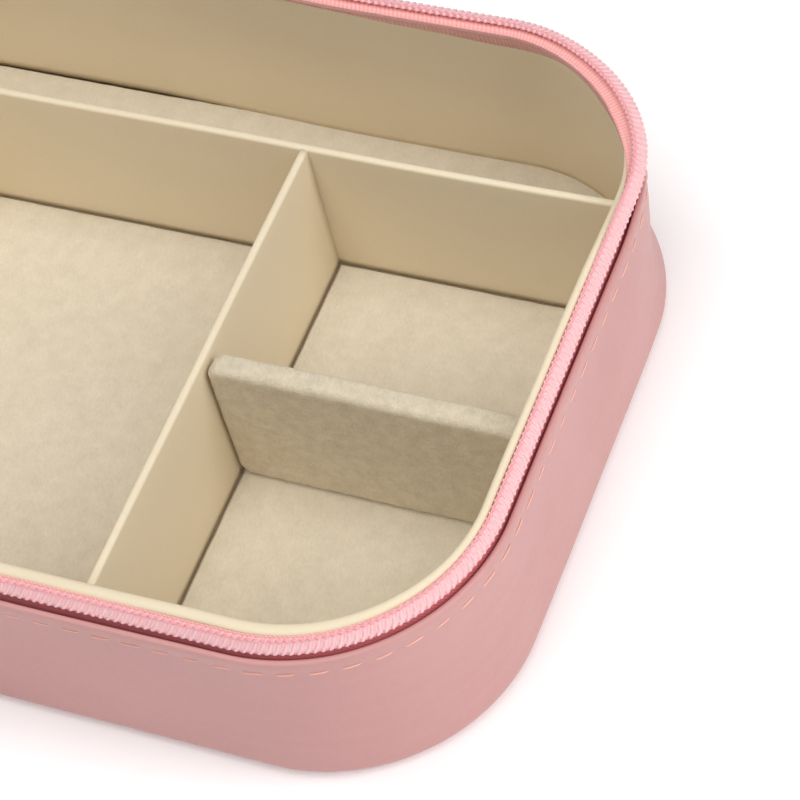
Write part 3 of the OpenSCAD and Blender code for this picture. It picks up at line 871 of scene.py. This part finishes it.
# ---------------------------------------------------------------- boards inside the walls
def shell_ring(prefix, edge, lip, body, matrix, node):
    """The stiff board between the leather and the liner; it keeps inside both where the walls lean."""
    outer, inner = 2.7 * MM, LINER_OUT - 0.06 * MM
    low, high = 2.4 * MM, edge - 2.6 * MM
    section = densify([(outer, low), (outer, high), (inner, high), (inner, low)], 4 * MM)

    def shape(along, inset, height):
        up = np.clip(height / lip, 0, 1)
        leather = TAPER * (1 - up) + drawn_leather(along, height)
        thinnest = LINER_IN + lean(along) * (0.5 + 0.8 * up) - 0.9 * MM
        liner = np.maximum(inner + lean(along) * (0.5 + 0.5 * up), np.minimum(leather + 1.0 * MM, thinnest))
        skin = leather + SKIN + 0.1 * MM
        is_inner = inset > (outer + inner) / 2
        return np.where(is_inner, liner, np.minimum(np.maximum(skin, outer), liner - 0.2 * MM)), height

    piece = carry_round(prefix + "_wall_board", section, 3 * MM, shape=shape, matrix=matrix)
    finish_piece(piece, BOARD, "board", body, node)


shell_ring("base", EDGE_Z, LIP_Z, "base", None, "base_shell")
shell_ring("lid", LID_EDGE, LID_DEPTH, "lid", LID, "lid_shell")


# ---------------------------------------------------------------- dividers
DIVIDER_ROUND = 0.7 * MM
DIVIDER_WARP = 0.35 * MM


def divider(name, node, along_x, seed):
    """An upright board wrapped in liner, as long as its node, with a rounded top and a slight warp."""
    low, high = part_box(node)
    mid = (low + high) / 2
    if along_x:
        start, end, thickness = Vector((low.x, mid.y, 0)), Vector((high.x, mid.y, 0)), high.y - low.y
    else:
        start, end, thickness = Vector((mid.x, low.y, 0)), Vector((mid.x, high.y, 0)), high.x - low.x
    run = end - start
    length = run.length
    run.normalize()
    side = Vector((-run.y, run.x, 0))
    half = thickness / 2
    radius = min(DIVIDER_ROUND, half - 0.01 * MM)
    section = [(half, low.z)] + arc((half - radius, high.z - radius), radius, 0, 90, 5)
    section += arc((radius - half, high.z - radius), radius, 90, 180, 5) + [(-half, low.z)]
    section = np.array(densify(section, 2.0 * MM))
    count = max(6, round(length / (2.0 * MM)))
    points, uv = [], []
    for i in range(count + 1):
        d = length * i / count
        for across, z in section:
            up = (z - low.z) / (high.z - low.z)
            warp = DIVIDER_WARP * noise.noise(Vector((d * 25 + seed, up * 1.5, seed))) * up
            p = start + run * d + side * (across + warp)
            points.append((p.x, p.y, z))
            uv.append((d, z))
    piece = make_object(name, points, tube_faces(count + 1, len(section), turned_round=True), uv)
    finish_piece(piece, LINER, "liner", "base", node)


divider("strip_divider_board", "back_divider", True, 1.7)
divider("cross_divider_board", "cross_divider", False, 5.1)
divider("ring_bay_divider_board", "ring_divider", False, 9.3)


# ---------------------------------------------------------------- velvet pads
def wall_inside(y, clearance):
    """How far the liner's inner face is from the middle at depth y, less a clearance."""
    radius = CORNER - LINER_IN - clearance
    beyond = max(0.0, abs(y) - (HALF_Y - CORNER))
    return HALF_X - CORNER + math.sqrt(max(0.0, radius ** 2 - min(beyond, radius) ** 2))


def across_pad(start, end, edge, count):
    """Places from start to end, close together near both ends, with count even ones between."""
    near = [edge * s for s in (0, 0.12, 0.28, 0.5, 0.8)]
    middle = np.linspace(start + edge, end - edge, count)
    return [start + s for s in near] + list(middle) + [end - s for s in reversed(near)]


PAD_GAP = 0.35 * MM
PAD_ROLL = 0.75 * MM
PAD_STEP = 1.6 * MM


def floor_pad(name, node, left, right, seed):
    """A velvet pad whose edge rolls down all round. It has a straight side at a divider, where left or
    right says so, and else follows the rounded corners of the case."""
    low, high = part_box(node)
    y0, y1 = low.y + PAD_GAP, high.y - PAD_GAP
    ys = across_pad(y0, y1, PAD_ROLL, max(2, round((y1 - y0 - 2 * PAD_ROLL) / PAD_STEP)) + 1)
    corner_x, corner_y = HALF_X - CORNER, HALF_Y - CORNER
    points = []
    for y in ys:
        x0 = low.x + PAD_GAP if left else -wall_inside(y, PAD_GAP)
        x1 = high.x - PAD_GAP if right else wall_inside(y, PAD_GAP)
        xs = across_pad(x0, x1, PAD_ROLL, round((high.x - low.x) / PAD_STEP))
        for x in xs:
            d = min(x - x0, x1 - x, y - y0, y1 - y)
            for sx, keep in ((1, right), (-1, left)):
                if not keep and sx * x > corner_x and abs(y) > corner_y:
                    far = math.hypot(sx * x - corner_x, abs(y) - corner_y)
                    d = min(d, CORNER - LINER_IN - PAD_GAP - far)
            d = max(d, 0)
            drop = PAD_ROLL - math.sqrt(max(0.0, PAD_ROLL ** 2 - (PAD_ROLL - min(d, PAD_ROLL)) ** 2))
            soft = noise.noise(Vector((x * 120 + seed, y * 120, seed))) * 0.05 * MM
            soft += noise.noise(Vector((x * 30, y * 30, seed + 4))) * 0.10 * MM
            ragged = noise.noise(Vector((x * 260, y * 260, seed + 9))) * 0.12 * MM if d < PAD_ROLL else 0
            points.append((x + ragged, y + ragged, high.z - drop + soft * (d >= PAD_ROLL)))
    rows, columns = len(ys), len(xs)
    faces = [tuple(reversed(f)) for f in grid_faces(rows, columns)]
    rim = grid_rim(rows, columns)
    foot, n = len(points), len(rim)
    points += [(points[i][0], points[i][1], low.z) for i in rim]
    for k, a in enumerate(rim):
        faces.append((a, foot + k, foot + (k + 1) % n, rim[(k + 1) % n]))
    faces.append(tuple(reversed(range(foot, foot + n))))
    piece = make_object(name, points, faces)
    finish_piece(piece, VELVET, "velvet", "base", node)


floor_pad("main_bay_velvet", "main_floor_pad", True, True, 1.0)
floor_pad("right_bay_velvet", "right_floor_pad", True, False, 2.0)
floor_pad("ring_bay_velvet", "ring_bay_floor_pad", False, True, 3.0)
floor_pad("strip_bay_velvet", "back_strip_floor_pad", False, False, 4.0)


# ---------------------------------------------------------------- removable divider
COVER_CORNER = 3.2 * MM
COVER_BULGE = 1.7 * MM
COVER_STEP = 0.7 * MM


def cover_loop(low, high, inset):
    """Points round the cover's face, a rounded rectangle drawn in by inset."""
    c = max(COVER_CORNER - inset, 0.05 * MM)
    x0, x1, z0, z1 = low.x + inset, high.x - inset, low.z + inset, high.z - inset
    centres = ((x1 - c, z0 + c, -90), (x1 - c, z1 - c, 0), (x0 + c, z1 - c, 90), (x0 + c, z0 + c, 180))
    corners = [arc((cx, cz), c, a, a + 90, 8) for cx, cz, a in centres]
    counts = (round((high.z - low.z) / COVER_STEP), round((high.x - low.x) / COVER_STEP)) * 2
    loop = []
    for i, corner in enumerate(corners):
        loop += corner
        loop += between(corner[-1], corners[(i + 1) % 4][0], counts[i])
    return loop


def removable_divider():
    """An upright padded board in velvet, a rounded rectangle from the front, with soft edges all round."""
    low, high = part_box("removable_divider_cover")
    half_thick, mid_y = (high.y - low.y) / 2, (high.y + low.y) / 2
    bulge = min(COVER_BULGE, half_thick)
    side = [(bulge * near, half_thick - bulge + bulge * out) for near, out in quarter_steps(range(0, 91, 15))]
    limit = (high.z - low.z) / 2 - 0.2 * MM
    side += [(inset, half_thick) for inset in np.arange(bulge + COVER_STEP * 1.5, limit, COVER_STEP * 1.5)]
    order = [(inset, -depth) for inset, depth in reversed(side)] + side[1:]
    points = []
    for inset, depth in order:
        for x, z in cover_loop(low, high, inset):
            place = Vector((x, mid_y + depth, z)) * 700
            uneven = Vector((noise.noise(place + Vector((3, 0, 0))), noise.noise(place + Vector((0, 10, 0))),
                             noise.noise(place + Vector((0, 0, 16))))) * 0.10 * MM
            uneven.y += noise.noise(Vector((x * 60, 3, z * 60))) * 0.18 * MM
            points.append((x + uneven.x, mid_y + depth + uneven.y, max(z + uneven.z, low.z)))
    piece = make_object("removable_divider_velvet", points, tube_faces(len(order), len(points) // len(order)))
    finish_piece(piece, VELVET_DIVIDER, "velvet", "removable_divider", "removable_divider_cover")


removable_divider()
dress("removable_divider_board", BOARD)


# ---------------------------------------------------------------- ring rolls
SWELL_FRAMES = 14
SWELL_CAP = 0.5 * MM


def swell(piece, low, high):
    """Lets a stuffed piece swell as cloth under pressure, kept inside its box, with its foot held flat."""
    mesh = piece.data
    start = np.array([v.co for v in mesh.vertices])
    middle = (start.min(0) + start.max(0)) / 2
    smaller = middle + (start - middle) * np.array([0.955, 0.985, 0.985])
    smaller[:, 2] += low.z - smaller[:, 2].min()
    mesh.vertices.foreach_set("co", smaller.ravel())
    bpy.context.view_layer.objects.active = piece
    remesh = piece.modifiers.new("remesh", "REMESH")
    remesh.mode = "VOXEL"
    remesh.voxel_size = 1.3 * MM
    bpy.ops.object.modifier_apply(modifier=remesh.name)
    before = np.array([v.co for v in mesh.vertices])
    foot = piece.vertex_groups.new(name="foot")
    foot.add([i for i, co in enumerate(before) if co[2] < low.z + 1.5 * MM], 1.0, "REPLACE")
    cloth = piece.modifiers.new("cloth", "CLOTH")
    settings = cloth.settings
    settings.quality = 6
    settings.mass = 0.15
    settings.tension_stiffness = 12
    settings.compression_stiffness = 12
    settings.bending_stiffness = 0.4
    settings.use_pressure = True
    settings.uniform_pressure_force = 4
    settings.effector_weights.gravity = 0
    settings.vertex_group_mass = "foot"
    scene = bpy.context.scene
    cloth.point_cache.frame_start = 1
    cloth.point_cache.frame_end = SWELL_FRAMES
    for step in range(1, SWELL_FRAMES + 1):
        scene.frame_set(step)
    graph = bpy.context.evaluated_depsgraph_get()
    after = np.array([v.co for v in piece.evaluated_get(graph).data.vertices])
    piece.modifiers.remove(cloth)
    piece.vertex_groups.remove(foot)
    scene.frame_set(1)
    gone = after - before
    far = np.linalg.norm(gone, axis=1)[:, None]
    gone = gone * np.minimum(1, SWELL_CAP / np.maximum(far, 1e-9))
    points = np.clip(before + gone, np.array(low), np.array(high))
    mesh.vertices.foreach_set("co", points.ravel())
    smooth = piece.modifiers.new("subdivision", "SUBSURF")
    smooth.levels = 1
    smooth.render_levels = 1
    bpy.ops.object.modifier_apply(modifier=smooth.name)
    mesh.polygons.foreach_set("use_smooth", [True] * len(mesh.polygons))
    mesh.update()


def ring_roll(index):
    """A foam roll under velvet: round on top, with softly rounded ends and a few shallow pulls."""
    node = f"ring_roll_{index}"
    low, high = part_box(node)
    half = (high.x - low.x) / 2
    mid = (high.x + low.x) / 2
    end = 3.5 * MM
    near = [end * inward for inward, _ in quarter_steps(range(0, 91, 10))]
    ys = [low.y + d for d in near] + [high.y - d for d in near]
    ys += list(np.arange(low.y + end, high.y - end, 1.5 * MM))
    ys = sorted(set(round(y, 7) for y in ys))
    waist = (low.z + high.z - half) / 2
    section = [(half, low.z), (half, waist)] + arc((0, high.z - half), half, 0, 180, 18)
    section += [(-half, waist), (-half, low.z)]
    points = []
    for y in ys:
        d = min(y - low.y, high.y - y, end)
        shrink = (1 - math.sqrt(max(0.0, 1 - (1 - d / end) ** 2))) * end
        narrow = (half - shrink * 0.75) / half
        for x, z in section:
            top = (z - low.z) / (high.z - low.z)
            pull = abs(noise.noise(Vector((x * 90, y * 90, index * 3.3))) * 0.18 * MM)
            points.append((mid + x * narrow * (1 - pull * 20), y, z - shrink * top - pull * top))
    piece = make_object(f"ring_roll_velvet_{index}", points,
                        tube_faces(len(ys), len(section), turned_round=True))
    swell(piece, low, high)
    finish_piece(piece, VELVET, "velvet", "base", node)


for roll_index in range(1, 5):
    ring_roll(roll_index)


# ---------------------------------------------------------------- flat panels, mirror and frame
def rounded_loop(half_x, half_y, radius, inset):
    """Points round a rounded rectangle drawn in by inset, always the same number of them."""
    r = max(radius - inset, 0.3 * MM)
    x, y = half_x - inset - r, half_y - inset - r
    across, deep = max(2, round(2 * half_x / (6 * MM))), max(2, round(2 * half_y / (6 * MM)))
    loop = []
    for centre, first, count, stop in (((x, -y), 270, deep, (x + r, y)),
                                       ((x, y), 0, across, (-x, y + r)),
                                       ((-x, y), 90, deep, (-x - r, -y)),
                                       ((-x, -y), 180, across, (x, -y - r))):
        loop += arc(centre, r, first, first + 90, 10)
        loop += between(loop[-1], stop, count)
    return loop


def rounded_piece(name, half_x, half_y, radius, section, closed=False, middle=0.0, ripple=0.0, matrix=None):
    """Carries (inset, height) points round a rounded rectangle. An open section ends in flat faces."""
    points = []
    for inset, height in section:
        for x, y in rounded_loop(half_x, half_y, radius, inset):
            wavy = ripple * noise.noise(Vector((x * 45, y * 45, half_x * 100)))
            points.append((x + middle, y, height + wavy * (inset > 2 * MM)))
    columns = len(points) // len(section)
    if closed:
        faces = grid_faces(len(section), columns, close_rows=True, close_columns=True)
    else:
        faces = tube_faces(len(section), columns)
    return face_out(make_object(name, points, faces, matrix=matrix))


def face_out(piece):
    """Turns every face of a closed piece outwards."""
    work = bmesh.new()
    work.from_mesh(piece.data)
    bmesh.ops.recalc_face_normals(work, faces=work.faces)
    work.to_mesh(piece.data)
    work.free()
    return piece


def pad_section(low, high, roll, reach, crown=0.0):
    """Bottom, rolled edge and a top that rises by crown towards the middle."""
    inner = [reach * k / 13 for k in range(1, 14)]
    section = [(i, low) for i in reversed([0.4 * MM] + inner)]
    section += [(0.1 * MM, low), (0.0, low + 0.12 * MM)]
    section += [(roll * inward, high - roll * (1 - up)) for inward, up in quarter_steps((0, 22, 45, 67, 90))]
    section += [(i + roll, high + crown * math.sin(math.pi / 2 * min(1, i / reach))) for i in inner]
    return section


def plate_size(node, matrix=None):
    """The lowest and highest corner of a flat node, measured as its lid or base was drawn."""
    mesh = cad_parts[node].data
    undo = matrix.inverted() if matrix is not None else Matrix.Identity(4)
    points = np.array([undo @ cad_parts[node].matrix_world @ v.co for v in mesh.vertices])
    return points.min(0), points.max(0)


def half_sides(low, high):
    return (high[0] - low[0]) / 2, (high[1] - low[1]) / 2


def corner_radius(half_x):
    """The corner of a panel that lies a little inside the case, round the same centre."""
    return CORNER - (HALF_X - half_x)


def lid_velvet():
    """The padded velvet inside the lid, behind the mirror."""
    low, high = plate_size("lid_lining_panel", LID)
    half_x, half_y = half_sides(low, high)
    section = pad_section(low[2], high[2], 0.6 * MM, half_y - 1.4 * MM)
    piece = rounded_piece("lid_velvet", half_x, half_y, corner_radius(half_x), section,
                          ripple=0.12 * MM, matrix=LID)
    finish_piece(piece, VELVET, "velvet", "lid", "lid_lining_panel")


def underside():
    """The leather under the case, inside the turned edge of its wall."""
    low, high = plate_size("base_bottom_panel")
    half_x, half_y = half_sides(low, high)
    section = pad_section(low[2], high[2], 0.3 * MM, half_y - 1.1 * MM)
    piece = rounded_piece("base_underside_leather", half_x, half_y, corner_radius(half_x), section,
                          ripple=0.05 * MM)
    finish_piece(piece, LEATHER, "leather", "base", "base_bottom_panel")


def lid_top():
    """The soft leather top of the lid, which swells gently outwards from its turned edge."""
    low, high = plate_size("lid_top_panel", LID)
    half_x, half_y = half_sides(low, high)
    crown = -low[2]
    section = pad_section(-high[2], -low[2] - crown, 0.25 * MM, half_y - 1.05 * MM, crown)
    section = [(inset, -height) for inset, height in reversed(section)]
    piece = rounded_piece("lid_top_leather", half_x, half_y, corner_radius(half_x), section,
                          ripple=0.08 * MM, matrix=LID)
    finish_piece(piece, LEATHER, "leather", "lid", "lid_top_panel")


def mirror_rim():
    """The narrow wrapped band round the mirror, rounded over its top."""
    low, high = plate_size("lid_mirror", LID)
    mirror_x, _ = half_sides(low, high)
    low, high = plate_size("lid_mirror_frame", LID)
    wide, deep = half_sides(low, high)
    band = wide - mirror_x - 0.2 * MM
    crest = high[2] - low[2]
    shoulder = low[2] + crest * 0.3
    section = [(band, low[2]), (0, low[2]), (0, shoulder)]
    section += [(band / 2 * inward, shoulder + crest * 0.7 * up)
                for inward, up in quarter_steps(range(15, 166, 15))]
    section.append((band, shoulder))
    rim = rounded_piece("mirror_rim", wide, deep, 10 * MM + band, section, closed=True,
                        middle=(low[0] + high[0]) / 2, matrix=LID)
    finish_piece(rim, LINER, "liner", "lid", "lid_mirror_frame")


lid_velvet()
underside()
lid_top()
mirror_rim()


# ---------------------------------------------------------------- hinge
def hinge_strip(name, path, thickness, half_width, material, node, sag):
    """A strip that joins base and lid. It follows path in (x, z) and bends with the hinge."""
    path = [Vector((x, 0, z)) for x, z in path]
    rows = len(path)
    columns = 41
    points = []
    for face in (0, 1):
        for i, here in enumerate(path):
            ahead = (path[min(i + 1, rows - 1)] - path[max(i - 1, 0)]).normalized()
            out = Vector((ahead.z, 0, -ahead.x))
            free = math.sin(math.pi * i / (rows - 1))
            for c in range(columns):
                y = half_width * (2 * c / (columns - 1) - 1)
                fold = sag * free * noise.noise(Vector((y * 70, i * 0.25, thickness * 1000)))
                edge = 1 - abs(2 * c / (columns - 1) - 1) ** 24
                p = here + out * (thickness * (face * edge + (1 - edge) * 0.5) + fold)
                points.append((p.x, y, p.z))
    size = rows * columns
    first = grid_faces(rows, columns)
    faces = [tuple(reversed(f)) for f in first] + [tuple(i + size for i in f) for f in first]
    rim = grid_rim(rows, columns)
    for k, a in enumerate(rim):
        b = rim[(k + 1) % len(rim)]
        faces.append((a, b, b + size, a + size))
    piece = face_out(make_object(name, points, faces))
    piece.data.materials.clear()
    piece.data.materials.append(material)
    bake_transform(piece)
    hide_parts(node)


def hinge():
    """The leather over the gap between base and lid, and the lining strip inside it."""
    base_end = Vector((-HALF_X, EDGE_Z))
    lid_point = LID @ Vector((-HALF_X, 0, LID_EDGE))
    lid_end = Vector((lid_point.x, lid_point.z))
    chord = (lid_end - base_end).length
    radius = chord / 2 / math.sin(LID_OPEN / 2)
    centre = base_end - Vector((radius, 0))
    path = [(centre.x + radius * math.cos(a), centre.y + radius * math.sin(a))
            for a in np.linspace(0, LID_OPEN - math.radians(3), 19)]
    hinge_strip("hinge_leather", path, SKIN * 0.95, HALF_Y - CORNER, LEATHER, "hinge_spine",
                0.15 * MM)
    low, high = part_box("hinge_lining")
    begin = Vector((high.x - 0.5 * MM, low.z))
    crest = Vector((high.x + 0.2 * MM, high.z + 1.2 * MM))
    finish = Vector((low.x + 0.3 * MM, high.z - 1.2 * MM))
    curve = [begin * (1 - t) ** 2 + crest * 2 * t * (1 - t) + finish * t * t for t in np.linspace(0, 1, 19)]
    curve = [(min(p.x, high.x - 0.1 * MM), min(p.y, high.z - 0.1 * MM)) for p in curve]
    hinge_strip("hinge_inner_lining", curve, 0.45 * MM, min(-low.y, high.y), LINER, "hinge_lining",
                0.12 * MM)


hinge()


# ---------------------------------------------------------------- nodes that stay
def soften(piece, width):
    """Rounds the edges of a piece that stays."""
    bevel = piece.modifiers.new("edges", "BEVEL")
    bevel.width = width
    bevel.segments = 3
    bevel.limit_method = "ANGLE"
    bevel.angle_limit = math.radians(35)


for hidden_board in ("base_floor_board", "lid_board"):
    dress(hidden_board, BOARD)
for stop_node in ("base_zipper_stops", "lid_zipper_stops"):
    soften(dress(stop_node, COIL), 0.12 * MM)
soften(dress("lid_mirror", MIRROR), 0.4 * MM)
for metal_node in ("front_slider", "front_pull", "back_slider", "back_pull"):
    soften(dress(metal_node, METAL), 0.14 * MM)


# ---------------------------------------------------------------- floor and light
def make_stage():
    """A plain pale floor under soft lamps, brightest from the right."""
    size = 3.0
    mesh = bpy.data.meshes.new("floor")
    corners = [(-size, -size, 0), (size, -size, 0), (size, size, 0), (-size, size, 0)]
    mesh.from_pydata(corners, [], [(0, 1, 2, 3)])
    floor = bpy.data.objects.new("floor", mesh)
    bpy.context.scene.collection.objects.link(floor)
    material, _, _ = new_material("pale_floor", (0.96, 0.96, 0.96), 0.9, Specular_IOR_Level=0.1,
                                  Emission_Color=(1.0, 1.0, 1.0, 1.0), Emission_Strength=0.1)
    mesh.materials.append(material)
    world = bpy.data.worlds.new("studio")
    bpy.context.scene.world = world
    world.use_nodes = True
    world.node_tree.nodes["Background"].inputs["Color"].default_value = (1, 1, 1, 1)
    world.node_tree.nodes["Background"].inputs["Strength"].default_value = 0.14
    lamps = (("overhead", (0.05, 0.0, 1.35), 5.0), ("front", (0.1, -0.75, 1.1), 5.2),
             ("right", (0.95, 0.0, 0.95), 7.4), ("left", (-0.9, 0.0, 1.0), 5.0),
             ("low_right", (1.2, -0.1, 0.4), 3.2))
    for name, place, power in lamps:
        data = bpy.data.lights.new(name, "AREA")
        data.shape = "DISK"
        data.size = 0.9
        data.energy = power
        lamp = bpy.data.objects.new(name, data)
        bpy.context.scene.collection.objects.link(lamp)
        lamp.location = place
        lamp.rotation_mode = "QUATERNION"
        lamp.rotation_quaternion = (Vector((0.05, 0, 0.02)) - Vector(place)).to_track_quat("-Z", "Y")


make_stage()
bpy.context.scene.view_settings.view_transform = "Standard"
